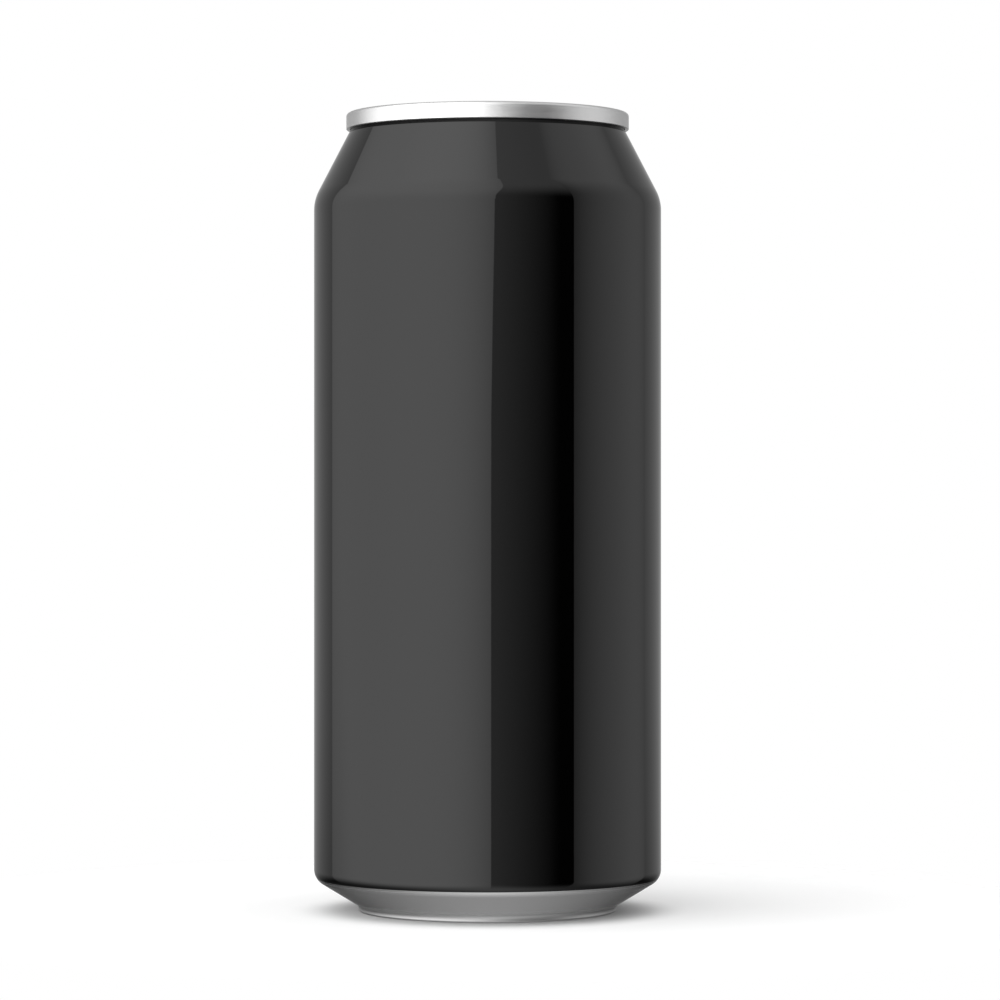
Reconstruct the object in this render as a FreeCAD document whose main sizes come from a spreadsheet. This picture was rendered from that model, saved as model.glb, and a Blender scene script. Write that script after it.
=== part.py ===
import FreeCAD, Part
import math
import os
import Sketcher
from FreeCAD import Vector

# A shut drink can of the tall 440 ml size, in three pieces: the drawn and ironed body with its domed
# base, the end that is double-seamed onto its neck, and the stay-on tab riveted to the end.
# Millimetres, +Z up. The origin is on the can's axis, in the plane that the foot stands on.
# The tear panel lies towards -Y and the tab's heel towards +Y.
# The can is full and shut, so the body is solid up to the underside of the end.

doc = FreeCAD.newDocument("DrinkCan")

# ---------------------------------------------------------------- driving dimensions

SIZES = {
    # the whole can
    "can_height": 152.0,
    "body_diameter": 66.2,
    # neck: a cone drawn in from the wall up to the seam, which stands proud of it
    "neck_diameter": 52.3,
    "neck_band": 0.1,
    "neck_angle": 27.5,
    "neck_radius": 0.3,
    "shoulder_radius": 8.0,
    # foot: a ring that the can stands on, and the chine, the steep cone from it out to the wall,
    # whose angle is taken from the upright
    "foot_diameter": 49.2,
    "foot_width": 1.2,
    "foot_height": 1.06,
    "foot_radius": 1.1,
    "nose_radius": 0.4,
    "chine_angle": 58.5,
    "chine_radius": 3.0,
    # domed base, which springs from the foot's inner wall
    "leg_height": 3.75,
    "dome_radius": 46.0,
    "dome_corner": 1.3,
    # double seam: the end's outer wall is folded down over the neck's upright ring
    "seam_height": 3.1,
    "seam_width": 1.35,
    "seam_wall": 0.75,
    "seam_corner": 0.65,
    "hem_radius": 0.15,
    "seat_clearance": 0.05,
    # end: sheet thickness, chuck wall, countersink and centre panel, measured down from the rim
    "gauge": 0.25,
    "chuck_angle": 12.0,
    "countersink_depth": 6.7,
    "countersink_width": 1.05,
    "countersink_corner": 0.4,
    "panel_depth": 4.4,
    "panel_corner": 0.35,
    # tear panel: a fine score, and a stiffening bead inside it that keeps clear of the tab
    "tear_front_rim": 4.8,
    "tear_side_rim": 11.5,
    "tear_back_gap": 1.0,
    "tear_radius": 7.2,
    "score_width": 0.3,
    "score_depth": 0.1,
    "bead_inset": 2.4,
    "bead_gap": 0.8,
    "bead_radius": 3.2,
    "bead_width": 1.1,
    "bead_height": 0.3,
    "bead_round": 0.2,
    # rivet, drawn up out of the panel through the tab
    "rivet_diameter": 3.3,
    "rivet_shoulder": 0.85,
    "rivet_lip": 1.15,
    "rivet_head_height": 0.45,
    "rivet_head_round": 0.3,
    # stay-on tab, its nose over the tear panel and its heel a gap short of the panel's edge
    "tab_nose": 7.3,
    "tab_nose_width": 16.0,
    "tab_nose_radius": 7.0,
    "heel_gap": 5.5,
    "tab_heel_width": 14.6,
    "tab_heel_radius": 5.6,
    "tab_height": 1.3,
    "tab_lift": 0.1,
    "curl_width": 1.5,
    "curl_round": 0.55,
    "curl_inner_round": 0.3,
    "web_height": 0.4,
    "web_thickness": 0.4,
    # openings of the tab: a slot that frees the tongue round the rivet, and the finger hole
    "tongue_front": 2.6,
    "tongue_back": 4.4,
    "tongue_width": 8.2,
    "tongue_radius": 2.4,
    "slot_width": 0.6,
    "hole_bridge": 1.6,
    "hole_heel_bar": 3.2,
    "hole_width": 9.6,
    "hole_radius": 3.2,
    # recess pressed into the panel round the tear panel and the tab
    "recess_depth": 0.4,
    "recess_front_margin": 1.2,
    "recess_side_margin": 4.5,
    "recess_front_radius": 12.5,
    "recess_heel_margin": 1.4,
    "recess_tab_margin": 3.2,
    "recess_back_radius": 9.0,
    # finger well pressed deeper under the tab's heel
    "well_depth": 0.9,
    "well_overlap": 8.6,
    "well_reach": 0.7,
    "well_width": 14.0,
    "well_radius": 4.5,
}


def make_sheet(sizes):
    sheet = doc.addObject("Spreadsheet::Sheet", "Dims")
    for row, (name, value) in enumerate(sizes.items(), start=1):
        cell = "B%d" % row
        sheet.set("A%d" % row, name)
        sheet.set(cell, str(value))
        sheet.setAlias(cell, name)
    doc.recompute()
    return sheet


sheet = make_sheet(SIZES)


def value(formula):
    # What a formula over the sheet's cells comes to.
    return float(sheet.evalExpression(formula))


# Radii about the can's axis, as formulas over the sheet.
WALL = "Dims.body_diameter / 2"
NECK = "Dims.neck_diameter / 2"
FOOT = "Dims.foot_diameter / 2"
FOOT_INNER = "(Dims.foot_diameter / 2 - Dims.foot_width)"
HOOK = "(%s + Dims.seat_clearance)" % NECK
SEAM = "(%s + Dims.seam_wall)" % HOOK
CHUCK_TOP = SEAM + " - Dims.seam_width"
CHUCK_FOOT = CHUCK_TOP + " - Dims.countersink_depth * tan(Dims.chuck_angle)"
PANEL_EDGE = CHUCK_FOOT + " - Dims.countersink_width"
RIVET = "Dims.rivet_diameter / 2"
RIVET_BASE = "(%s + Dims.rivet_shoulder)" % RIVET

# Heights over the ground.
CHINE = "Dims.foot_height + (%s - %s) / tan(Dims.chine_angle)" % (WALL, FOOT)
SEAM_BASE = "Dims.can_height - Dims.seam_height"
NECK_TOP = SEAM_BASE + " - Dims.neck_band"
SHOULDER = "%s - (%s - %s) / tan(Dims.neck_angle)" % (NECK_TOP, WALL, NECK)
COUNTERSINK = "Dims.can_height - Dims.countersink_depth"
PANEL = "Dims.can_height - Dims.panel_depth"
RECESS = PANEL + " - Dims.recess_depth"
TAB_BASE = RECESS + " + Dims.tab_lift"
WEB_BASE = TAB_BASE + " + Dims.web_height"
WEB_TOP = WEB_BASE + " + Dims.web_thickness"

# Distances from the axis, to the front or the back, of what is laid out on the panel.
TEAR_FRONT = "(%s - Dims.tear_front_rim)" % PANEL_EDGE
TEAR_HALF = "(%s - Dims.tear_side_rim)" % PANEL_EDGE
TEAR_BACK = "(%s + Dims.tear_back_gap)" % RIVET_BASE
TAB_HEEL = "(%s - Dims.heel_gap)" % PANEL_EDGE
HOLE_FRONT = "(Dims.tongue_back + Dims.slot_width + Dims.hole_bridge)"


# ---------------------------------------------------------------- sketches and features

def origin_plane(body, role):
    for feature in body.Origin.OriginFeatures:
        if feature.Role == role:
            return feature


def new_body(name):
    body = doc.addObject("PartDesign::Body", name)
    body.Label = name
    body.Placement = FreeCAD.Placement()
    return body


def new_sketch(body, name, role="XZ_Plane", height=None):
    # An upright sketch holds half a turned section, a level one an outline at a height.
    sketch = body.newObject("Sketcher::SketchObject", name)
    sketch.AttachmentSupport = (origin_plane(body, role), "")
    sketch.MapMode = "FlatFace"
    if height:
        sketch.setExpression("AttachmentOffset.Base.z", height)
    return sketch


def bind(sketch, name, constraint, formula):
    # One size of a sketch, tied to the sheet.
    index = sketch.addConstraint(constraint)
    sketch.renameConstraint(index, name)
    sketch.setExpression("Constraints." + name, formula)


def place_point(sketch, label, geometry, end, x, y):
    # Puts one end of an element at x, y: on an axis of the sketch, or at a bound distance from it.
    for axis, kind, formula in ((-2, "DistanceX", x), (-1, "DistanceY", y)):
        if value(formula) == 0:
            sketch.addConstraint(Sketcher.Constraint("PointOnObject", geometry, end, axis))
        else:
            constraint = Sketcher.Constraint(kind, -1, 1, geometry, end, value(formula))
            bind(sketch, label + kind[-1], constraint, formula)


def tangent_arc(before, corner, after, radius):
    # The arc that rounds a corner: where it starts, its middle and where it ends.
    back = (before - corner).normalize()
    on = (after - corner).normalize()
    half = back.getAngle(on) / 2
    inward = (back + on).normalize()
    start = corner + back * (radius / math.tan(half))
    end = corner + on * (radius / math.tan(half))
    middle = corner + inward * (radius / math.sin(half) - radius)
    return start, middle, end


def near(sketch, arc, point):
    # Which end of an arc, 1 or 2, lies at a point.
    gap = [(sketch.getPoint(arc, end) - point).Length for end in (1, 2)]
    return 1 if gap[0] < gap[1] else 2


def add_outline(sketch, corners, label="P"):
    # A closed outline through sharp corners, each given as formulas for x, y and, where the corner
    # is rounded, its radius. Lines run between the corners and an arc rounds each one that has one.
    points = [Vector(value(corner[0]), value(corner[1]), 0) for corner in corners]
    count = len(corners)
    rounds = []
    for i, corner in enumerate(corners):
        if len(corner) == 3:
            rounds.append(tangent_arc(points[i - 1], points[i], points[(i + 1) % count], value(corner[2])))
        else:
            rounds.append((points[i], None, points[i]))
    lines = []
    for i in range(count):
        start = rounds[i][2]
        end = rounds[(i + 1) % count][0]
        if (end - start).dot(points[(i + 1) % count] - points[i]) <= 0:
            raise ValueError("%s: the rounds at both ends of line %d meet" % (sketch.Label, i + 1))
        lines.append(sketch.addGeometry(Part.LineSegment(start, end), False))
    for i, corner in enumerate(corners):
        into = lines[i - 1]
        out = lines[i]
        name = "%s%d" % (label, i + 1)
        start, middle, end = rounds[i]
        if middle is None:
            sketch.addConstraint(Sketcher.Constraint("Coincident", into, 2, out, 1))
            place_point(sketch, name, out, 1, corner[0], corner[1])
            continue
        arc = sketch.addGeometry(Part.Arc(start, middle, end), False)
        first = near(sketch, arc, start)
        sketch.addConstraint(Sketcher.Constraint("Tangent", into, 2, arc, first))
        sketch.addConstraint(Sketcher.Constraint("Tangent", out, 1, arc, 3 - first))
        tip = sketch.addGeometry(Part.Point(points[i]), True)
        sketch.addConstraint(Sketcher.Constraint("PointOnObject", tip, 1, into))
        sketch.addConstraint(Sketcher.Constraint("PointOnObject", tip, 1, out))
        place_point(sketch, name, tip, 1, corner[0], corner[1])
        bind(sketch, name + "R", Sketcher.Constraint("Radius", arc, value(corner[2])), corner[2])


def add_circle(sketch, diameter):
    circle = sketch.addGeometry(Part.Circle(Vector(0, 0, 0), Vector(0, 0, 1), value(diameter) / 2), False)
    sketch.addConstraint(Sketcher.Constraint("Coincident", circle, 3, -1, 1))
    bind(sketch, "Across", Sketcher.Constraint("Diameter", circle, value(diameter)), diameter)


def turned(body, kind, name, corners):
    # A Revolution or a Groove of an upright outline about the can's axis.
    sketch = new_sketch(body, name + "Section")
    add_outline(sketch, corners)
    feature = body.newObject("PartDesign::" + kind, name)
    feature.Profile = sketch
    feature.ReferenceAxis = (sketch, ["V_Axis"])
    feature.Angle = 360
    return feature


def extruded(body, kind, name, height, depth, outlines, downward=True):
    # A Pad or a Pocket of level outlines, from a height, down or up by a depth.
    sketch = new_sketch(body, name + "Outline", "XY_Plane", height)
    for number, corners in enumerate(outlines):
        add_outline(sketch, corners, "PQ"[number])
    feature = body.newObject("PartDesign::" + kind, name)
    feature.Profile = sketch
    feature.setExpression("Length", depth)
    # a Pad grows upwards unless reversed, and a Pocket cuts downwards unless reversed
    feature.Reversed = downward == (kind == "Pad")
    return feature


def rounded(body, name, radius, wanted):
    # A Fillet on every edge of the body so far that the test picks out.
    doc.recompute()
    base = body.Tip
    names = ["Edge%d" % (i + 1) for i, edge in enumerate(base.Shape.Edges) if wanted(edge)]
    fillet = body.newObject("PartDesign::Fillet", name)
    fillet.Base = (base, names)
    fillet.setExpression("Radius", radius)
    return fillet


def at_height(formula, inside=None):
    # A test for edges that lie level at a height, and if asked within a distance of the axis.
    height = value(formula)

    def wanted(edge):
        box = edge.BoundBox
        level = abs(box.ZMin - height) < 1e-4 and abs(box.ZMax - height) < 1e-4
        reach = max(math.hypot(vertex.X, vertex.Y) for vertex in edge.Vertexes)
        return level and (inside is None or reach < value(inside))

    return wanted


def rim(body, formula, outer):
    # A test for the edges of a body's level face at a height: its outer loop, or its inner ones.
    doc.recompute()
    level = at_height(formula)
    flat = [face for face in body.Tip.Shape.Faces if all(level(edge) for edge in face.Edges)]
    face = max(flat, key=lambda item: item.Length)
    outside = face.OuterWire.Edges

    def wanted(edge):
        in_face = any(edge.isSame(item) for item in face.Edges)
        return in_face and outer == any(edge.isSame(item) for item in outside)

    return wanted


# ---------------------------------------------------------------- outlines that pieces share

def symmetric_outline(front, front_half, front_radius, back, back_half, back_radius):
    # Four rounded corners, the same on both sides of the YZ plane. A radius is never so large that
    # it would run into the next one.
    length = "0.45 * (%s - (%s))" % (back, front)
    front_round = "min(%s; 0.85 * (%s); %s)" % (front_radius, front_half, length)
    back_round = "min(%s; 0.85 * (%s); %s)" % (back_radius, back_half, length)
    return [
        ("-(%s)" % front_half, front, front_round),
        (front_half, front, front_round),
        (back_half, back, back_round),
        ("-(%s)" % back_half, back, back_round),
    ]


def recess_outline(margin):
    # The shallow recess of the panel, wide round the tear panel and narrow behind the tab.
    return symmetric_outline(
        "-%s - Dims.recess_front_margin - %s" % (TEAR_FRONT, margin),
        "%s + Dims.recess_side_margin + %s" % (TEAR_HALF, margin),
        "Dims.recess_front_radius + " + margin,
        "%s + Dims.recess_heel_margin + %s" % (TAB_HEEL, margin),
        "Dims.tab_heel_width / 2 + Dims.recess_tab_margin + " + margin,
        "Dims.recess_back_radius + " + margin,
    )


def well_outline(margin):
    # The finger well reaches from under the tab to just past its heel.
    half = "Dims.well_width / 2 + " + margin
    radius = "Dims.well_radius + " + margin
    return symmetric_outline("%s - Dims.well_overlap - %s" % (TAB_HEEL, margin), half, radius,
                             "%s + Dims.well_reach + %s" % (TAB_HEEL, margin), half, radius)


def tear_outline(inset):
    # The tear panel's edge, or a line that runs inside it by an inset.
    half = "%s - %s" % (TEAR_HALF, inset)
    radius = "Dims.tear_radius - " + inset
    return symmetric_outline("-%s + %s" % (TEAR_FRONT, inset), half, radius,
                             "-%s - %s" % (TEAR_BACK, inset), half, radius)


def bead_outline(inset):
    # The bead follows the tear panel's front and sides, and stops short of the tab's nose.
    half = "%s - Dims.bead_inset - %s" % (TEAR_HALF, inset)
    radius = "Dims.bead_radius - " + inset
    return symmetric_outline("-%s + Dims.bead_inset + %s" % (TEAR_FRONT, inset), half, radius,
                             "-Dims.tab_nose - Dims.bead_gap - " + inset, half, radius)


def tab_outline(inset):
    return symmetric_outline(
        "-Dims.tab_nose + " + inset,
        "Dims.tab_nose_width / 2 - " + inset,
        "Dims.tab_nose_radius - " + inset,
        "%s - %s" % (TAB_HEEL, inset),
        "Dims.tab_heel_width / 2 - " + inset,
        "Dims.tab_heel_radius - " + inset,
    )


def end_underside(gap):
    # The corners under the end, from inside the seam's outer wall to the axis, that far below the
    # sheet: the sheet's own underside where the gap is 0, and the top of the body that it seats on.
    crest = "Dims.can_height - Dims.gauge - " + gap
    offset = "(Dims.gauge + %s)" % gap
    chuck = "%s + %s / cos(Dims.chuck_angle)" % (CHUCK_TOP, offset)
    lip_outer = "%s - %s" % (HOOK, gap)
    lip_inner = "%s - %s * tan(Dims.chuck_angle)" % (chuck, offset)
    lip_round = "min(Dims.seam_corner - Dims.gauge; 0.4 * (%s - (%s)))" % (lip_outer, lip_inner)
    bottom = "%s - %s" % (COUNTERSINK, offset)
    corner = "Dims.countersink_corner + " + offset
    under_panel = "%s - %s" % (PANEL, offset)
    inner = "%s - %s" % (PANEL_EDGE, offset)
    return [
        (lip_outer, crest, lip_round),
        (lip_inner, crest, lip_round),
        ("%s - (Dims.countersink_depth + %s) * tan(Dims.chuck_angle)" % (chuck, offset), bottom, corner),
        (inner, bottom, corner),
        (inner, under_panel, "Dims.panel_corner - Dims.gauge"),
        ("0", under_panel),
    ]


# ---------------------------------------------------------------- body

def add_dome(body):
    # The hollow under the can: a spherical dome that springs from the foot's upright inner wall.
    sketch = new_sketch(body, "DomeSection")
    radius = value("Dims.dome_radius")
    edge = Vector(value(FOOT_INNER), value("Dims.leg_height"), 0)
    centre = Vector(0, edge.y - math.sqrt(radius ** 2 - edge.x ** 2), 0)
    foot = Vector(edge.x, 0, 0)
    apex = centre + Vector(0, radius, 0)
    circle = Part.Circle(centre, Vector(0, 0, 1), radius)
    arc = Part.ArcOfCircle(circle, math.acos(edge.x / radius), math.pi / 2)
    ground = sketch.addGeometry(Part.LineSegment(Vector(0, 0, 0), foot), False)
    leg = sketch.addGeometry(Part.LineSegment(foot, edge), False)
    dome = sketch.addGeometry(arc, False)
    axis = sketch.addGeometry(Part.LineSegment(apex, Vector(0, 0, 0)), False)
    loop = [ground, leg, dome, axis]
    for i, element in enumerate(loop):
        sketch.addConstraint(Sketcher.Constraint("Coincident", loop[i - 1], 2, element, 1))
    sketch.addConstraint(Sketcher.Constraint("Coincident", ground, 1, -1, 1))
    sketch.addConstraint(Sketcher.Constraint("PointOnObject", ground, 2, -1))
    sketch.addConstraint(Sketcher.Constraint("Vertical", leg))
    sketch.addConstraint(Sketcher.Constraint("PointOnObject", dome, 3, -2))
    sketch.addConstraint(Sketcher.Constraint("PointOnObject", axis, 1, -2))
    bind(sketch, "FootInner", Sketcher.Constraint("DistanceX", -1, 1, leg, 1, edge.x), FOOT_INNER)
    bind(sketch, "LegHeight", Sketcher.Constraint("DistanceY", -1, 1, leg, 2, edge.y), "Dims.leg_height")
    bind(sketch, "Radius", Sketcher.Constraint("Radius", dome, radius), "Dims.dome_radius")
    groove = body.newObject("PartDesign::Groove", "Dome")
    groove.Profile = sketch
    groove.ReferenceAxis = (sketch, ["V_Axis"])
    groove.Angle = 360
    rounded(body, "FootInside", "Dims.nose_radius", at_height("0", FOOT_INNER + " + 0.01"))
    rounded(body, "DomeCorner", "Dims.dome_corner", at_height("Dims.leg_height"))


def make_can_body():
    body = new_body("can_body")
    turned(body, "Revolution", "Shell", [
        ("0", "0"),
        (FOOT, "0", "Dims.nose_radius"),
        (FOOT, "Dims.foot_height", "Dims.foot_radius"),
        (WALL, CHINE, "Dims.chine_radius"),
        (WALL, SHOULDER, "Dims.shoulder_radius"),
        (NECK, NECK_TOP, "Dims.neck_radius"),
    ] + end_underside("Dims.seat_clearance"))
    # room for what is pressed down into the end's panel
    margin = "(Dims.gauge + Dims.seat_clearance)"
    top = "%s - %s" % (PANEL, margin)
    floor = "%s - %s" % (RECESS, margin)
    extruded(body, "Pocket", "RecessRoom", top, "Dims.recess_depth", [recess_outline(margin)])
    extruded(body, "Pocket", "WellRoom", floor, "Dims.well_depth", [well_outline(margin)])
    add_dome(body)
    return body


# ---------------------------------------------------------------- end

def press(body, name, level, depth, outline):
    # Pushes part of the sheet down: metal is added below it and the same depth is cut from above.
    extruded(body, "Pad", name + "Under", level + " - Dims.gauge", depth, [outline("Dims.gauge")])
    extruded(body, "Pocket", name, level, depth, [outline("0")])


def make_can_end():
    body = new_body("can_end")
    turned(body, "Revolution", "Sheet", [
        (PANEL_EDGE, PANEL, "Dims.panel_corner"),
        (PANEL_EDGE, COUNTERSINK, "Dims.countersink_corner"),
        (CHUCK_FOOT, COUNTERSINK, "Dims.countersink_corner"),
        (CHUCK_TOP, "Dims.can_height", "Dims.seam_corner"),
        (SEAM, "Dims.can_height", "Dims.seam_corner"),
        (SEAM, SEAM_BASE, "Dims.hem_radius"),
        (HOOK, SEAM_BASE, "Dims.hem_radius"),
    ] + end_underside("0") + [("0", PANEL)])
    press(body, "Recess", PANEL, "Dims.recess_depth", recess_outline)
    press(body, "Well", RECESS, "Dims.well_depth", well_outline)
    add_tear_panel(body)
    add_rivet(body)
    return body


def add_tear_panel(body):
    extruded(body, "Pocket", "Score", RECESS, "Dims.score_depth",
             [tear_outline("0"), tear_outline("Dims.score_width")])
    extruded(body, "Pad", "Bead", RECESS, "Dims.bead_height",
             [bead_outline("0"), bead_outline("Dims.bead_width")], downward=False)
    crest = RECESS + " + Dims.bead_height"
    rounded(body, "BeadRound", "Dims.bead_round", at_height(crest))


def add_rivet(body):
    # A button drawn up through the tab: a base that carries the tab, a stem and a flattened head.
    below = RECESS + " - Dims.gauge / 2"
    base = WEB_BASE + " - Dims.seat_clearance"
    head = WEB_TOP + " + Dims.seat_clearance"
    turned(body, "Revolution", "Rivet", [
        ("0", below),
        (RIVET_BASE, below),
        (RIVET_BASE, base),
        (RIVET, base),
        (RIVET, head),
        (RIVET + " + Dims.rivet_lip", head),
        (RIVET + " + Dims.rivet_lip", head + " + Dims.rivet_head_height", "Dims.rivet_head_round"),
        ("0", head + " + Dims.rivet_head_height"),
    ])


# ---------------------------------------------------------------- tab

def tongue_slot():
    # A slot on three sides of the rivet, so that the tongue stays joined to the web at the nose.
    near_half = "Dims.tongue_width / 2"
    far_half = "(Dims.tongue_width / 2 + Dims.slot_width)"
    far_back = "Dims.tongue_back + Dims.slot_width"
    far_radius = "Dims.tongue_radius + Dims.slot_width"
    front = "-Dims.tongue_front"
    return [
        ("-" + far_half, front),
        ("-" + near_half, front),
        ("-" + near_half, "Dims.tongue_back", "Dims.tongue_radius"),
        (near_half, "Dims.tongue_back", "Dims.tongue_radius"),
        (near_half, front),
        (far_half, front),
        (far_half, far_back, far_radius),
        ("-" + far_half, far_back, far_radius),
    ]


def make_pull_tab():
    body = new_body("pull_tab")
    top = TAB_BASE + " + Dims.tab_height"
    extruded(body, "Pad", "Blank", TAB_BASE, "Dims.tab_height", [tab_outline("0")], downward=False)
    # the web between the curled edges, thin and low
    over_web = "Dims.tab_height - Dims.web_height - Dims.web_thickness"
    extruded(body, "Pocket", "OverWeb", top, over_web, [tab_outline("Dims.curl_width")])
    extruded(body, "Pocket", "UnderWeb", TAB_BASE, "Dims.web_height",
             [tab_outline("Dims.curl_width")], downward=False)
    half = "Dims.hole_width / 2"
    hole = symmetric_outline(HOLE_FRONT, half, "Dims.hole_radius",
                             TAB_HEEL + " - Dims.hole_heel_bar", half, "Dims.hole_radius")
    extruded(body, "Pocket", "FingerHole", top, "Dims.tab_height", [hole])
    extruded(body, "Pocket", "TongueSlot", top, "Dims.tab_height", [tongue_slot()])
    rivet_hole = new_sketch(body, "RivetHoleOutline", "XY_Plane", top)
    add_circle(rivet_hole, "Dims.rivet_diameter + 2 * Dims.seat_clearance")
    pocket = body.newObject("PartDesign::Pocket", "RivetHole")
    pocket.Profile = rivet_hole
    pocket.setExpression("Length", "Dims.tab_height")
    for name, level in (("Top", top), ("Under", TAB_BASE)):
        rounded(body, "Curl" + name, "Dims.curl_round", rim(body, level, True))
        rounded(body, "CurlInner" + name, "Dims.curl_inner_round", rim(body, level, False))
    return body


# ---------------------------------------------------------------- build, check and write

def check(bodies):
    doc.recompute()
    for item in doc.Objects:
        if "Invalid" in item.State or "Error" in item.State:
            raise RuntimeError("%s failed: %s" % (item.Label, item.State))
    for body in bodies:
        if body.Shape.isNull() or not body.Shape.isValid():
            raise RuntimeError(body.Label + " has no valid shape")
        if len(body.Shape.Solids) != 1:
            raise RuntimeError(body.Label + " isn't one solid")


bodies = [make_can_body(), make_can_end(), make_pull_tab()]
check(bodies)
os.makedirs("parts", exist_ok=True)
for body in bodies:
    body.Shape.exportStep("parts/%s.step" % body.Label)
    box = body.Shape.BoundBox
    print("%s: %.1f mm3, z %.3f to %.3f" % (body.Label, body.Shape.Volume, box.ZMin, box.ZMax))
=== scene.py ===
import bpy
import math
import numpy as np
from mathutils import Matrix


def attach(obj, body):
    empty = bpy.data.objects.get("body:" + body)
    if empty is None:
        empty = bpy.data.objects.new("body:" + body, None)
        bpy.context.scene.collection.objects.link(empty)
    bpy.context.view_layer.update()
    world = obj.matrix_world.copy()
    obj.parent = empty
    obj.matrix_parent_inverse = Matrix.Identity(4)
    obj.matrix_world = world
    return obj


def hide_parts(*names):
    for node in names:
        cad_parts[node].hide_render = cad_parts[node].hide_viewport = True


# A black drink can of the tall 440 ml size: gloss lacquer over an ironed aluminium body, a bare
# aluminium end seamed on, and a stay-on tab. Metres, +Z up, the can stands at the origin.

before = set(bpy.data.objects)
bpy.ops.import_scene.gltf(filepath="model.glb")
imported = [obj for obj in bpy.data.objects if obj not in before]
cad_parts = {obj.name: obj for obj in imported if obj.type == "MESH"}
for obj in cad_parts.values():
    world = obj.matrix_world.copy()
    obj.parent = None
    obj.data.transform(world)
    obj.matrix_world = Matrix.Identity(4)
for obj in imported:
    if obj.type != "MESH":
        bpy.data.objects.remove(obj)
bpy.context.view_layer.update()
mm = 0.001


def toLinear(hexColour):
    # sRGB hex to linear light, the form that shader colours take
    parts = np.array([int(hexColour[i:i + 2], 16) for i in (1, 3, 5)]) / 255
    linear = np.where(parts <= 0.04045, parts / 12.92, ((parts + 0.055) / 1.055) ** 2.4)
    return (*linear, 1.0)


def addNode(tree, kind, settings=None, links=None):
    # one shader node, with values for its properties or inputs and links into its inputs
    node = tree.nodes.new(kind)
    for name, value in (settings or {}).items():
        if isinstance(name, str) and hasattr(node, name):
            setattr(node, name, value)
        else:
            node.inputs[name].default_value = value
    for name, source in (links or {}).items():
        tree.links.new(source, node.inputs[name])
    return node


def newMaterial(name):
    # an empty node material and its tree
    material = bpy.data.materials.new(name)
    material.use_nodes = True
    material.node_tree.nodes.clear()
    return material, material.node_tree


def smoothStep(low, high, x):
    # 3 t t - 2 t t t, which goes from 0 at low to 1 at high
    t = np.clip((x - low) / (high - low), 0, 1)
    return t * t * (3 - 2 * t)


def roundedProfile(corners, arcStep=4.0, guard=0.04):
    # A path through sharp corners (x, y, radius). Each radius is a tangent arc whose centre lies on
    # the corner's bisector, sampled every arcStep degrees. A straight run gets a point close to
    # each of its ends, so that smooth shading bends only at the rounds.
    points = np.array([corner[:2] for corner in corners], float)
    pieces = []
    for i, corner in enumerate(corners):
        radius = corner[2] if len(corner) > 2 else 0
        if radius == 0:
            pieces.append(points[i:i + 1])
            continue
        back = points[i - 1] - points[i]
        on = points[i + 1] - points[i]
        back, on = back / np.linalg.norm(back), on / np.linalg.norm(on)
        half = math.acos(float(np.clip(back @ on, -1, 1))) / 2
        inward = (back + on) / np.linalg.norm(back + on)
        centre = points[i] + inward * radius / math.sin(half)
        start = points[i] + back * radius / math.tan(half) - centre
        turn = math.pi - 2 * half
        turn *= np.sign(start[1] * back[0] - start[0] * back[1])
        angle = np.linspace(0, turn, max(3, int(abs(math.degrees(turn)) / arcStep) + 2))
        cos, sin = np.cos(angle), np.sin(angle)
        pieces.append(centre + np.stack([start[0] * cos - start[1] * sin,
                                         start[0] * sin + start[1] * cos], 1))
    path = [pieces[0]]
    for piece in pieces[1:]:
        run = piece[0] - path[-1][-1]
        length = np.linalg.norm(run)
        if length > 4 * guard:
            near = run / length * guard
            path.append(np.array([path[-1][-1] + near, piece[0] - near]))
        path.append(piece)
    return np.concatenate(path)


def closedLathe(name, grid, columns):
    # The surface carried round the Z axis: grid is rows x columns x 3, its first and last rows lie
    # on the axis and become one point each, and the last column joins the first. The rows run from
    # the underside, up the outside and in over the top, which makes the faces point outwards.
    rows = len(grid)
    inner = grid[1:-1].reshape(-1, 3)
    vertices = np.concatenate([grid[0, :1], inner, grid[-1, :1]]) * mm
    k = np.arange(columns)
    following = (k + 1) % columns
    ring = 1 + np.arange(rows - 2)[:, None] * columns
    low, high = ring[:-1], ring[1:]
    quads = np.stack([low + k, low + following, high + following, high + k], -1).reshape(-1, 4)
    last = len(vertices) - 1
    firstFan = np.stack([np.zeros_like(k), 1 + following, 1 + k], -1)
    lastFan = np.stack([np.full_like(k, last), ring[-1] + k, ring[-1] + following], -1)
    faces = firstFan.tolist() + quads.tolist() + lastFan.tolist()
    mesh = bpy.data.meshes.new(name)
    mesh.from_pydata(vertices, [], faces)
    mesh.polygons.foreach_set("use_smooth", np.ones(len(faces), bool))
    mesh.update()
    piece = bpy.data.objects.new(name, mesh)
    bpy.context.scene.collection.objects.link(piece)
    return piece


def turnProfile(profile, columns):
    # each profile point (radius, height) becomes a ring: x = r cos a, y = r sin a
    angle = np.arange(columns) * 2 * math.pi / columns
    radius, height = profile[:, :1], profile[:, 1:]
    return np.stack([radius * np.cos(angle), radius * np.sin(angle),
                     height + 0 * angle], -1)


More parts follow.
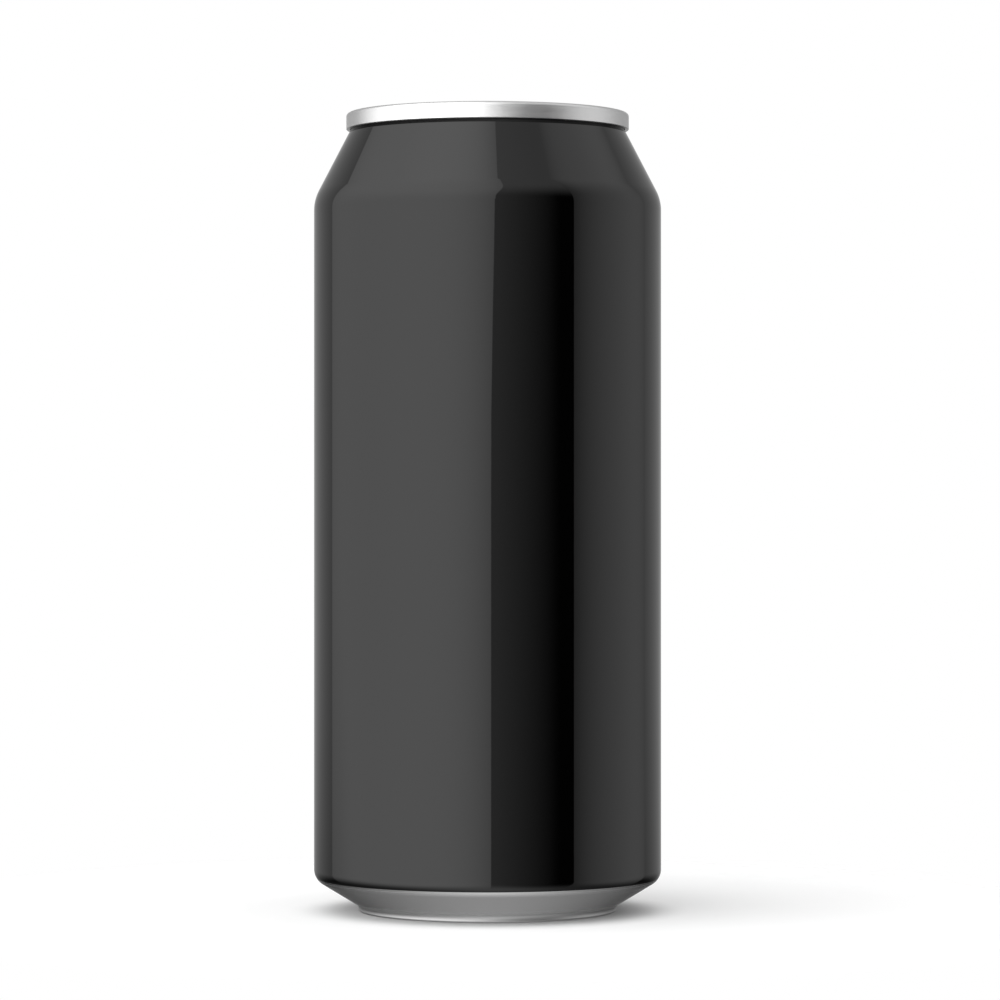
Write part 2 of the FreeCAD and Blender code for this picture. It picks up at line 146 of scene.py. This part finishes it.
# Can body, millimetres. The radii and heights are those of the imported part.
bodySizes = {
    "wallRadius": 33.1, "neckRadius": 26.15, "footRadius": 24.6, "footWidth": 1.2, "footHeight": 1.06,
    "neckTop": 148.8, "neckAngle": 27.5, "neckRound": 0.3, "shoulderRound": 8.0,
    "chineAngle": 58.5, "chineRound": 3.0, "footRound": 1.1, "noseRound": 0.4,
    "legHeight": 3.75, "domeRadius": 46.0, "domeLip": 1.4, "domeRound": 0.975,
    # the top, hidden by the end: a collar inside the seam, a gutter under the countersink, a plinth
    "collarTop": 151.6, "collarInner": 25.9, "gutterRadius": 24.52, "gutter": 145.0,
    "plinthRadius": 22.8, "plinthTop": 145.95,
    "lacquerEdge": 6.45,   # height on the chine at which the lacquer stops
    "domeRows": 24, "columns": 320,
}


def bodyProfile(s):
    # from the axis under the dome, round the foot, up the wall and neck, and in over the top
    wall, neck, foot = s["wallRadius"], s["neckRadius"], s["footRadius"]
    inner = foot - s["footWidth"]
    chine = s["footHeight"] + (wall - foot) / math.tan(math.radians(s["chineAngle"]))
    shoulder = s["neckTop"] - (wall - neck) / math.tan(math.radians(s["neckAngle"]))
    # the dome is an arc about a centre below the can, from the axis to a lip short of the leg
    centre = s["legHeight"] - math.sqrt(s["domeRadius"] ** 2 - inner ** 2)
    sweep = np.linspace(0, math.asin((inner - s["domeLip"]) / s["domeRadius"]), s["domeRows"])
    dome = np.stack([s["domeRadius"] * np.sin(sweep), centre + s["domeRadius"] * np.cos(sweep)], 1)
    outside = roundedProfile([
        (*dome[-1], 0),
        (inner, s["legHeight"] - 0.05, s["domeRound"]),
        (inner, 0, s["noseRound"]),
        (foot, 0, s["noseRound"]),
        (foot, s["footHeight"], s["footRound"]),
        (wall, chine, s["chineRound"]),
        (wall, shoulder, s["shoulderRound"]),
        (neck, s["neckTop"], s["neckRound"]),
        (neck, s["collarTop"], 0.1),
        (s["collarInner"], s["collarTop"], 0.1),
        (s["gutterRadius"], s["gutter"], 0.4),
        (s["plinthRadius"], s["gutter"], 0.4),
        (s["plinthRadius"], s["plinthTop"], 0.3),
        (0, s["plinthTop"]),
    ])
    return np.concatenate([dome[:-1], outside])


print("can body")
profile = bodyProfile(bodySizes)
columns = bodySizes["columns"]
canBody = closedLathe("canBody", turnProfile(profile, columns), columns)
# rings below the lacquer's edge are bare, and so is all that lies inside the foot
ringHeight = (profile[1:-2, 1] + profile[2:-1, 1]) / 2
insideFoot = (profile[1:-2, 0] < bodySizes["footRadius"] - bodySizes["footWidth"] / 2) & (
    ringHeight < bodySizes["neckTop"] / 2)
bareRings = (ringHeight < bodySizes["lacquerEdge"]) | insideFoot
faceCount = len(canBody.data.polygons)
bareFaces = np.ones(faceCount, np.int32)
bareFaces[columns:faceCount - columns] = np.repeat(bareRings, columns)
bareFaces[faceCount - columns:] = 0
canBody.data.polygons.foreach_set("material_index", bareFaces)
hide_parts("can_body")
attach(canBody, "root")


# Can end, millimetres: sheet, rivet, seam and what is pressed into the panel
endSizes = {
    "top": 152.0, "gauge": 0.25, "seamRadius": 26.95, "seamHeight": 3.1, "hookRadius": 26.2,
    "seamCrown": 0.65, "chuckTop": 25.6, "chuckFoot": 24.176, "countersink": 145.3, "panelEdge": 23.126,
    "panel": 147.6, "recessDepth": 0.4, "wellDepth": 0.9, "beadHeight": 0.3, "beadWidth": 1.1,
    "underTop": 25.84, "underFoot": 24.45,   # the chuck wall's radii on the sheet's underside
    "rivetRadius": 1.65, "rivetBase": 2.5, "rivetHead": 2.8,
    # heights over the recess: the rivet's step, the head's underside, its rim and its dish
    "rivetStep": 0.45, "headUnder": 0.95, "headTop": 1.42, "headDish": 1.33,
    "columns": 288, "panelRows": 114, "underRows": 30,
}
# outlines on the panel: front y, its half width and rounding, then the same at the back
endOutlines = {
    "recess": (-19.526, 16.126, 12.5, 19.026, 10.5, 8.925),
    "well": (9.026, 7.0, 4.185, 18.326, 7.0, 4.185),
    "tear": (-18.326, 11.626, 6.67, -3.5, 11.626, 6.67),
    "bead": (-15.926, 9.226, 3.2, -8.1, 9.226, 3.2),
}


def outlinePath(front, frontHalf, frontRound, back, backHalf, backRound):
    # four rounded corners, symmetric about the YZ plane, closed
    loop = [(-frontHalf, front, frontRound), (frontHalf, front, frontRound),
            (backHalf, back, backRound), (-backHalf, back, backRound)]
    return roundedProfile([(0, front, 0)] + loop[1:3] + [(0, back, 0)] + loop[3:] + loop[:1]
                          + [(0, front, 0)], arcStep=5)


def signedDistance(x, y, path):
    # distance to a closed path, negative inside: the nearest of its segments, and the sign from
    # how often a ray towards +X crosses it
    flat = np.stack([x.ravel(), y.ravel()], 1)
    best = np.full(len(flat), 1e9)
    inside = np.zeros(len(flat), bool)
    for a, b in zip(path[:-1], path[1:]):
        run = b - a
        if run @ run < 1e-12:
            continue
        along = np.clip(((flat - a) @ run) / (run @ run), 0, 1)
        best = np.minimum(best, np.hypot(*(flat - a - along[:, None] * run).T))
        crosses = (a[1] > flat[:, 1]) != (b[1] > flat[:, 1])
        if run[1] != 0:
            inside ^= crosses & (flat[:, 0] < a[0] + (flat[:, 1] - a[1]) * run[0] / run[1])
    return np.where(inside, -best, best).reshape(x.shape)


def endGrid(s):
    # Rings from the rivet's top, over panel, countersink, chuck wall and seam, and back under the
    # sheet to the axis. Panel rings are lowered or raised by the relief at their x, y.
    panel, gauge, top = s["panel"], s["gauge"], s["top"]
    level = panel - s["recessDepth"]
    head, shank, base = s["rivetHead"], s["rivetRadius"], s["rivetBase"]
    dish, rim = level + s["headDish"], level + s["headTop"]
    lip, step = level + s["headUnder"], level + s["rivetStep"]
    rivet = roundedProfile([
        (0, dish), (1.2, dish + 0.03, 3.0), (head - 0.25, rim, 0.2), (head, rim - 0.22, 0.16),
        (head - 0.1, lip + 0.02, 0.08), (shank, lip, 0.08), (shank, step, 0.08),
        (base - 0.1, step, 0.12), (base + 0.12, level, 0.2), (base + 0.45, level)],
        arcStep=18, guard=0.02)
    flatFrom, flatTo = base + 0.5, s["panelEdge"] - 0.5
    spread = np.linspace(flatFrom, flatTo, s["panelRows"])
    plate = np.stack([spread, np.full_like(spread, panel)], 1)
    edge = roundedProfile([
        (flatTo + 0.02, panel), (s["panelEdge"], panel, 0.35), (s["panelEdge"], s["countersink"], 0.4),
        (s["chuckFoot"], s["countersink"], 0.4), (s["chuckTop"], top, s["seamCrown"]),
        (s["seamRadius"], top, s["seamCrown"]), (s["seamRadius"], top - s["seamHeight"], 0.15),
        (s["hookRadius"], top - s["seamHeight"], 0.15), (s["hookRadius"], top - gauge, 0.12),
        (s["underTop"], top - gauge, 0.12), (s["underFoot"], s["countersink"] - gauge, 0.5),
        (s["panelEdge"] - gauge, s["countersink"] - gauge, 0.5),
        (s["panelEdge"] - gauge, panel - gauge, 0.15), (flatTo - 0.2, panel - gauge)],
        arcStep=11)
    back = np.linspace(flatTo - 0.3, 0, s["underRows"])
    under = np.stack([back, np.full_like(back, panel - gauge)], 1)
    path = np.concatenate([rivet, plate, edge, under])
    grid = turnProfile(path, s["columns"])
    first = len(rivet)
    x, y = grid[..., 0], grid[..., 1]
    away = {name: signedDistance(x, y, outlinePath(*shape)) for name, shape in endOutlines.items()}
    relief = -s["recessDepth"] * smoothStep(0.25, -0.35, away["recess"])
    relief -= s["wellDepth"] * smoothStep(0.0, -1.1, away["well"])
    fromCrest = np.abs(away["bead"] + s["beadWidth"] / 2)
    relief += s["beadHeight"] * smoothStep(s["beadWidth"] / 2, 0.05, fromCrest)
    onPanel = np.zeros(len(path), bool)
    onPanel[first:first + len(plate)] = True
    onPanel[-len(under):] = True
    grid[..., 2] += np.where(onPanel[:, None], relief, 0)
    # distance from the tear panel's edge, for the fine score that the finish draws, and 9 mm
    # wherever there is none
    fromScore = np.where(onPanel[:, None] & (np.arange(len(path)) < first + len(plate))[:, None],
                         away["tear"], 9.0)
    # turned round, to run from the underside as closedLathe asks
    return grid[::-1], fromScore[::-1]


print("can end")
endRings, fromScore = endGrid(endSizes)
canEnd = closedLathe("canEnd", endRings, endSizes["columns"])
score = np.concatenate([fromScore[0, :1], fromScore[1:-1].ravel(), fromScore[-1, :1]])
canEnd.data.attributes.new("scoreDistance", "FLOAT", "POINT").data.foreach_set(
    "value", score.astype(np.float32))
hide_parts("can_end")
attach(canEnd, "root")


print("finishes")


def glossBlackLacquer():
    # Black coating and clear over-varnish, roller coated and baked: deep black with no scatter of
    # its own, mirror sharp, with a barely visible orange peel about 2.5 mm across.
    material, tree = newMaterial("glossBlackLacquer")
    place = addNode(tree, "ShaderNodeTexCoord").outputs["Object"]
    peel = addNode(tree, "ShaderNodeTexNoise", {"Scale": 400.0, "Detail": 1.0}, {"Vector": place})
    bump = addNode(tree, "ShaderNodeBump", {"Strength": 1.0, "Distance": 0.0000012},
                   {"Height": peel.outputs["Fac"]})
    haze = addNode(tree, "ShaderNodeTexNoise", {"Scale": 60.0, "Detail": 3.0}, {"Vector": place})
    rough = addNode(tree, "ShaderNodeMapRange", {"To Min": 0.018, "To Max": 0.03},
                    {"Value": haze.outputs["Fac"]})
    shader = addNode(tree, "ShaderNodeBsdfPrincipled",
                     {"Base Color": toLinear("#020202"), "IOR": 1.5},
                     {"Roughness": rough.outputs["Result"], "Normal": bump.outputs["Normal"]})
    addNode(tree, "ShaderNodeOutputMaterial", links={"Surface": shader.outputs["BSDF"]})
    return material


def ironedAluminium():
    # Bare can stock 3104, ironed and clear washed: a soft satin mirror, with fine level lines left
    # by the die about 0.15 mm apart. The foot is rougher, scuffed by the tracks it has run on, and
    # below 1.9 mm its colour greys as painted shade, standing in for the shadowed floor it mirrors.
    material, tree = newMaterial("ironedAluminium")
    place = addNode(tree, "ShaderNodeTexCoord").outputs["Object"]
    split = addNode(tree, "ShaderNodeSeparateXYZ", links={"Vector": place})
    radius = addNode(tree, "ShaderNodeVectorMath", {"operation": "LENGTH"}, {0: place})
    lines = addNode(tree, "ShaderNodeTexNoise", {"noise_dimensions": "1D", "Scale": 6500.0,
                                                 "Detail": 2.0}, {"W": split.outputs["Z"]})
    rings = addNode(tree, "ShaderNodeTexNoise", {"noise_dimensions": "1D", "Scale": 2200.0,
                                                 "Detail": 2.0}, {"W": radius.outputs["Value"]})
    both = addNode(tree, "ShaderNodeMath", {"operation": "ADD"},
                   {0: lines.outputs["Fac"], 1: rings.outputs["Fac"]})
    bump = addNode(tree, "ShaderNodeBump", {"Strength": 0.35, "Distance": 0.000012},
                   {"Height": both.outputs["Value"]})
    rough = addNode(tree, "ShaderNodeMapRange", {"From Max": 2.0, "To Min": 0.2, "To Max": 0.3},
                    {"Value": both.outputs["Value"]})
    # below 1.9 mm, full at 0.7 mm: more roughness for scuffs, and painted shade in the colour
    scuffsAndPaintedShade = addNode(tree, "ShaderNodeMapRange", {"From Min": 0.0019, "From Max": 0.0007},
                     {"Value": split.outputs["Z"]})
    rough = addNode(tree, "ShaderNodeMath", {"operation": "MULTIPLY_ADD", 1: 0.2},
                    {0: scuffsAndPaintedShade.outputs["Result"], 2: rough.outputs["Result"]})
    # painted shade: the foot's colour goes from #f3f3f3 down to #b4b4b4 near the floor
    metal = addNode(tree, "ShaderNodeMix", {"data_type": "RGBA", 6: toLinear("#f3f3f3"),
                                            7: toLinear("#b4b4b4")},
                    {0: scuffsAndPaintedShade.outputs["Result"]})
    shader = addNode(tree, "ShaderNodeBsdfPrincipled", {"Metallic": 1.0},
                     {"Base Color": metal.outputs[2], "Roughness": rough.outputs["Value"],
                      "Normal": bump.outputs["Normal"]})
    addNode(tree, "ShaderNodeOutputMaterial", links={"Surface": shader.outputs["BSDF"]})
    return material


def rolledEndStock(name, withScore):
    # Clear coated end stock 5182: bright, with the straight grain of the rolling mill along X,
    # drawn about 0.25 mm apart so that it shows, and on the end the fine scored line. Where the
    # seam has been rolled, from 26 mm out, fine level lines less than 0.1 mm apart draw the light out.
    material, tree = newMaterial(name)
    place = addNode(tree, "ShaderNodeTexCoord").outputs["Object"]
    stretch = addNode(tree, "ShaderNodeMapping", {"Scale": (60.0, 4000.0, 400.0)}, {"Vector": place})
    grain = addNode(tree, "ShaderNodeTexNoise", {"Scale": 1.0, "Detail": 3.0},
                    {"Vector": stretch.outputs["Vector"]})
    bump = addNode(tree, "ShaderNodeBump", {"Strength": 0.3, "Distance": 0.000008},
                   {"Height": grain.outputs["Fac"]})
    if withScore:
        away = addNode(tree, "ShaderNodeAttribute", {"attribute_name": "scoreDistance"})
        middle = addNode(tree, "ShaderNodeMath", {"operation": "ADD", 1: 0.15},
                         {0: away.outputs["Fac"]})
        distance = addNode(tree, "ShaderNodeMath", {"operation": "ABSOLUTE"},
                           {0: middle.outputs["Value"]})
        groove = addNode(tree, "ShaderNodeMapRange", {"interpolation_type": "SMOOTHSTEP",
                                                      "From Max": 0.17},
                         {"Value": distance.outputs["Value"]})
        bump = addNode(tree, "ShaderNodeBump", {"Strength": 1.0, "Distance": 0.0001},
                       {"Height": groove.outputs["Result"], "Normal": bump.outputs["Normal"]})
    rough = addNode(tree, "ShaderNodeMapRange", {"To Min": 0.16, "To Max": 0.26},
                    {"Value": grain.outputs["Fac"]})
    level = addNode(tree, "ShaderNodeVectorMath", {"operation": "MULTIPLY", 1: (1, 1, 0)}, {0: place})
    radius = addNode(tree, "ShaderNodeVectorMath", {"operation": "LENGTH"},
                     {0: level.outputs["Vector"]})
    rolled = addNode(tree, "ShaderNodeMapRange", {"From Min": 0.0258, "From Max": 0.0264},
                     {"Value": radius.outputs["Value"]})
    split = addNode(tree, "ShaderNodeSeparateXYZ", links={"Vector": place})
    rounds = addNode(tree, "ShaderNodeTexNoise", {"noise_dimensions": "1D", "Scale": 14000.0},
                     {"W": split.outputs["Z"]})
    bump = addNode(tree, "ShaderNodeBump", {"Distance": 0.000022},
                   {"Strength": rolled.outputs["Result"], "Height": rounds.outputs["Fac"],
                    "Normal": bump.outputs["Normal"]})
    rough = addNode(tree, "ShaderNodeMath", {"operation": "MULTIPLY_ADD", 1: 0.1},
                    {0: rolled.outputs["Result"], 2: rough.outputs["Result"]})
    metal = addNode(tree, "ShaderNodeMix", {"data_type": "RGBA", 6: toLinear("#f5f5f5"),
                                            7: toLinear("#e4e4e4")},
                    {0: rolled.outputs["Result"]})
    shader = addNode(tree, "ShaderNodeBsdfPrincipled", {"Metallic": 1.0},
                     {"Base Color": metal.outputs[2], "Roughness": rough.outputs["Value"],
                      "Normal": bump.outputs["Normal"]})
    addNode(tree, "ShaderNodeOutputMaterial", links={"Surface": shader.outputs["BSDF"]})
    return material


canBody.data.materials.append(glossBlackLacquer())
canBody.data.materials.append(ironedAluminium())
canEnd.data.materials.append(rolledEndStock("rolledEndStock", True))
tabFinish = rolledEndStock("rolledTabStock", False)
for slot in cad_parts["pull_tab"].material_slots:
    slot.material = tabFinish


# Studio: a round tent of panels whose glow varies with direction, in degrees. Azimuth 0 is towards
# the camera and grows to the camera's right; glow 1 is white. Lengths are in metres.
studio = {
    "radius": 0.9, "wallEnd": 66.0, "eyeHeight": 0.08,
    "mainGlow": 1.92, "mainFrom": -123.0, "mainTo": 2.4, "mainMiddle": -42.0,
    "sideGlow": 0.79, "sideFrom": 57.7, "sideTo": 126.0, "sideMiddle": 93.0, "sideHigh": 0.97,
    "slotGlow": 0.42, "slotFrom": 5.0, "slotEnd": 47.0, "slotHigh": 0.66,
    "rearGlow": 0.41, "roofGlow": 0.66, "groundGlow": 0.44,
    "roomShare": 0.7, "roomGlow": 0.53, "roomRoof": 1.12, "worldGlow": 0.5,
    "floorTone": 0.5, "floorToCamera": 1.0, "floorSolid": 0.085, "floorEnd": 0.125,
    "shadeFrom": 0.024, "shadeEnd": 0.039, "shadeTone": 0.5,
}


def panelsAt(azimuth, s):
    # whether each direction looks at the main panel, at the slot or at the side panel
    return [(azimuth > s["mainFrom"]) & (azimuth < s["mainTo"]),
            (azimuth >= s["mainTo"]) & (azimuth <= s["sideFrom"]),
            (azimuth > s["sideFrom"]) & (azimuth < s["sideTo"])]


def tentGlow(azimuth, elevation, s):
    # the large main panel: brightest left of the camera, and falling off to both its edges
    offset = azimuth - s["mainMiddle"]
    main = s["mainGlow"] * np.where(offset < 0, 1 - 0.71 * (offset / 84) ** 2,
                                    1 - 0.391 * np.abs(offset / 45) ** 2.8)
    main *= 1 + 0.12 * smoothStep(5, 30, elevation)
    # the smaller side panel, to the right, more even high up
    side = s["sideGlow"] * (1 - 0.53 * np.abs((azimuth - s["sideMiddle"]) / 33) ** 2.2)
    high = s["sideHigh"] * (1 - 0.5 * ((azimuth - s["sideMiddle"] + 3) / 36) ** 4)
    side += (high - side) * smoothStep(20, 55, elevation)
    # the slot between them: a screen that darkens to the right, with a glow only high up
    slot = s["slotGlow"] * np.clip(1 - (azimuth - s["slotFrom"]) / (s["slotEnd"] - s["slotFrom"]), 0, 1)
    slot += s["slotHigh"] * smoothStep(12, 45, elevation) * (1 - slot)
    rear = s["rearGlow"] * (1 + 0.3 * smoothStep(155, 175, np.abs(azimuth)))
    return np.select(panelsAt(azimuth, s), [main, slot, side], rear)


def lowGlow(azimuth, elevation, s):
    # Below the horizon the panels end, the main one lowest at its middle, and what is left is a
    # dim ground, brighter towards the camera: groundGlow exp(-0.92 y) / (1 + 1.5 x x), where x, y
    # is the point seen on a plane one unit down.
    turn = np.radians(azimuth)
    away = 1 / np.tan(np.radians(np.clip(-elevation, 12, 89)))
    x, y = away * np.sin(turn), -away * np.cos(turn)
    ground = np.minimum(1.0, s["groundGlow"] * np.exp(-0.92 * y)) / (1 + 1.5 * x * x)
    mainEnd = -18 - 24 * np.cos(np.clip(turn + math.radians(38), -1.5, 1.5))
    sideEnd = -30 * np.cos(np.clip(0.8 * (turn - math.radians(83)), -1.5, 1.5))
    fade = np.select(panelsAt(azimuth, s), [
        smoothStep(np.minimum(mainEnd + 24, -1), mainEnd - 12, elevation),
        smoothStep(-8, -48, elevation),
        smoothStep(sideEnd + 16, sideEnd - 14, elevation),
    ], smoothStep(-3, -25, elevation))
    return tentGlow(azimuth, np.zeros_like(elevation), s) * (1 - fade) + ground * fade


def stagePiece(name, vertices, faces, material, glow=None):
    # a piece of the stage, with its glow kept at its points
    mesh = bpy.data.meshes.new(name)
    mesh.from_pydata(vertices, [], faces)
    if glow is not None:
        mesh.attributes.new("glow", "FLOAT", "POINT").data.foreach_set("value", glow.astype(np.float32))
    mesh.materials.append(material)
    mesh.update()
    piece = bpy.data.objects.new(name, mesh)
    bpy.context.scene.collection.objects.link(piece)
    return piece


def gridFaces(rows, columns):
    # four corners for each cell between neighbouring rows and columns
    corner = (np.arange(rows - 1)[:, None] * columns + np.arange(columns - 1)).reshape(-1, 1)
    return (corner + np.array([0, 1, columns + 1, columns])).tolist()


def diffusionCloth():
    # white diffusing cloth of a light panel, lit from behind: an even glow with no shine
    material, tree = newMaterial("diffusionCloth")
    glow = addNode(tree, "ShaderNodeAttribute", {"attribute_name": "glow"})
    light = addNode(tree, "ShaderNodeEmission", links={"Strength": glow.outputs["Fac"]})
    addNode(tree, "ShaderNodeOutputMaterial", links={"Surface": light.outputs["Emission"]})
    return material


print("studio")
cloth = diffusionCloth()
# columns close together at the edges of the panels, so that those edges stay sharp
edges = [studio["mainFrom"], studio["mainTo"], studio["sideFrom"], studio["sideTo"]]
azimuth = np.unique(np.concatenate([np.arange(-180, 180.1, 3.0)]
                                   + [np.array([edge - 0.2, edge + 0.2]) for edge in edges]))
azimuthGrid, elevation = np.meshgrid(azimuth, np.linspace(0, studio["wallEnd"], 34))


def tentWall(name, elevation, glow):
    # The upright wall of the tent, its heights found from the elevations seen at the can's middle.
    # The main panel's right edge leans outwards above the horizon, and back near its top, and its
    # left edge leans outwards high up.
    lean = (2.9 * smoothStep(1, 9.5, elevation) + 6.3 * smoothStep(12, 42, elevation)
            - 2.5 * smoothStep(54, 62, elevation))
    right = np.minimum((azimuthGrid + 30) / (studio["mainTo"] + 30),
                       (studio["sideFrom"] - azimuthGrid) / (studio["sideFrom"] - studio["mainTo"]))
    left = 1 - np.abs(azimuthGrid - studio["mainFrom"]) / 40
    turn = np.radians(azimuthGrid + lean * np.clip(right, 0, 1)
                      - 7 * smoothStep(20, 55, elevation) * np.clip(left, 0, 1))
    height = studio["eyeHeight"] + studio["radius"] * np.tan(np.radians(elevation))
    wall = np.stack([studio["radius"] * np.sin(turn), -studio["radius"] * np.cos(turn), height], -1)
    return stagePiece(name, wall.reshape(-1, 3), gridFaces(*azimuthGrid.shape), cloth, glow.ravel())


def tentDisc(name, height, glow):
    # a level disc that closes the tent, with its glow given over x and y as shares of the radius
    rings = np.linspace(0.02, 1, 16)[:, None] * studio["radius"]
    turn = np.radians(azimuth)
    x, y = rings * np.sin(turn), -rings * np.cos(turn)
    disc = np.stack([x, y, np.full_like(x, height)], -1)
    return stagePiece(name, disc.reshape(-1, 3), gridFaces(len(rings), len(azimuth)), cloth,
                      glow(x / studio["radius"], y / studio["radius"]).ravel())


wallRise = studio["radius"] * math.tan(math.radians(studio["wallEnd"]))
roofHeight, groundHeight = studio["eyeHeight"] + wallRise, studio["eyeHeight"] - wallRise
glowAround = tentGlow(azimuthGrid, elevation, studio)
tentPanels = [tentWall("tentWall", elevation, glowAround),
              tentDisc("tentRoof", roofHeight, lambda x, y: studio["roofGlow"] - 0.35 * x + 0.12 * y)]
lowPanels = [tentWall("tentSkirt", -elevation, lowGlow(azimuthGrid, -elevation, studio)),
             tentDisc("tentGround", groundHeight,
                      lambda x, y: studio["groundGlow"] * np.exp(-0.41 * y) / (1 + 0.3 * x * x))]
# the room that lights the floor: the same tent, softer, since much of its light comes back from walls
roomPanels = [tentWall("roomWall", elevation, studio["roomShare"] * glowAround + studio["roomGlow"]),
              tentDisc("roomRoof", roofHeight, lambda x, y: studio["roomRoof"] - 0.25 * x)]
# reflections see the tent, and the floor's diffuse light comes from the room
for panel in tentPanels + lowPanels + roomPanels:
    panel.visible_camera = False
    panel.visible_shadow = False
for panel in tentPanels:
    panel.visible_diffuse = False
for panel in roomPanels:
    panel.visible_glossy = False
# what lies below the floor is there for reflections alone
ground = cloth.copy()
ground.name = "groundReflector"
ground.cycles.emission_sampling = "NONE"
for panel in lowPanels:
    panel.data.materials[0] = ground
    panel.visible_diffuse = False


def paleFloor():
    # White matt board that takes the can's shadow, and fades into the white background round it.
    # Close to the foot its tone is lowered as well, which deepens the shadow there.
    material, tree = newMaterial("paleBoard")
    place = addNode(tree, "ShaderNodeTexCoord").outputs["Object"]
    away = addNode(tree, "ShaderNodeVectorMath", {"operation": "LENGTH"}, {0: place})
    fade = addNode(tree, "ShaderNodeMapRange", {"interpolation_type": "SMOOTHSTEP",
                                                "From Min": studio["floorSolid"],
                                                "From Max": studio["floorEnd"]},
                   {"Value": away.outputs["Value"]})
    near = addNode(tree, "ShaderNodeMapRange", {"interpolation_type": "SMOOTHSTEP",
                                                "From Min": studio["shadeFrom"],
                                                "From Max": studio["shadeEnd"],
                                                "To Min": studio["shadeTone"]},
                   {"Value": away.outputs["Value"]})
    path = addNode(tree, "ShaderNodeLightPath")
    tone = addNode(tree, "ShaderNodeMapRange", {"To Min": studio["floorTone"],
                                                "To Max": studio["floorToCamera"]},
                   {"Value": path.outputs["Is Camera Ray"]})
    tone = addNode(tree, "ShaderNodeMath", {"operation": "MULTIPLY"},
                   {0: tone.outputs["Result"], 1: near.outputs["Result"]})
    board = addNode(tree, "ShaderNodeBsdfDiffuse", links={"Color": tone.outputs["Value"]})
    clear = addNode(tree, "ShaderNodeBsdfTransparent")
    # from below the board can be seen through
    side = addNode(tree, "ShaderNodeNewGeometry")
    fade = addNode(tree, "ShaderNodeMath", {"operation": "MAXIMUM"},
                   {0: fade.outputs["Result"], 1: side.outputs["Backfacing"]})
    mixed = addNode(tree, "ShaderNodeMixShader", links={
        0: fade.outputs["Value"], 1: board.outputs["BSDF"], 2: clear.outputs["BSDF"]})
    addNode(tree, "ShaderNodeOutputMaterial", links={"Surface": mixed.outputs["Shader"]})
    return material


boardCorners = (studio["floorEnd"] + 0.01) * np.array([(-1, -1, 0), (1, -1, 0), (1, 1, 0), (-1, 1, 0)])
floor = stagePiece("floor", boardCorners, [(0, 1, 2, 3)], paleFloor())
floor.visible_glossy = False

# white to the camera, to reflections and through glass, and dimmer as a light
world = bpy.data.worlds.new("whiteBackground")
bpy.context.scene.world = world
world.use_nodes = True
tree = world.node_tree
tree.nodes.clear()
path = addNode(tree, "ShaderNodeLightPath")
seen = addNode(tree, "ShaderNodeMath", {"operation": "MAXIMUM"},
               {0: path.outputs["Is Camera Ray"], 1: path.outputs["Is Glossy Ray"]})
seen = addNode(tree, "ShaderNodeMath", {"operation": "MAXIMUM"},
               {0: seen.outputs["Value"], 1: path.outputs["Is Transmission Ray"]})
dim = addNode(tree, "ShaderNodeBackground", {"Color": toLinear("#ffffff"),
                                             "Strength": studio["worldGlow"]})
white = addNode(tree, "ShaderNodeBackground", {"Color": toLinear("#ffffff"), "Strength": 1.0})
mixed = addNode(tree, "ShaderNodeMixShader", links={
    0: seen.outputs["Value"], 1: dim.outputs["Background"], 2: white.outputs["Background"]})
addNode(tree, "ShaderNodeOutputWorld", links={"Surface": mixed.outputs["Shader"]})
bpy.context.scene.view_settings.view_transform = "Standard"

# Camera: level with the middle of the can, about 0.8 m in front
cameraSettings = {"place": (0.00237, -0.8037, 0.0783), "lens": 151.56}
lens = bpy.data.cameras.new("camera")
lens.lens = cameraSettings["lens"]
lens.sensor_width = 36
camera = bpy.data.objects.new("camera", lens)
camera.location = cameraSettings["place"]
camera.rotation_euler = (math.radians(90), 0, 0)
bpy.context.scene.collection.objects.link(camera)
bpy.context.scene.camera = camera

print("done")
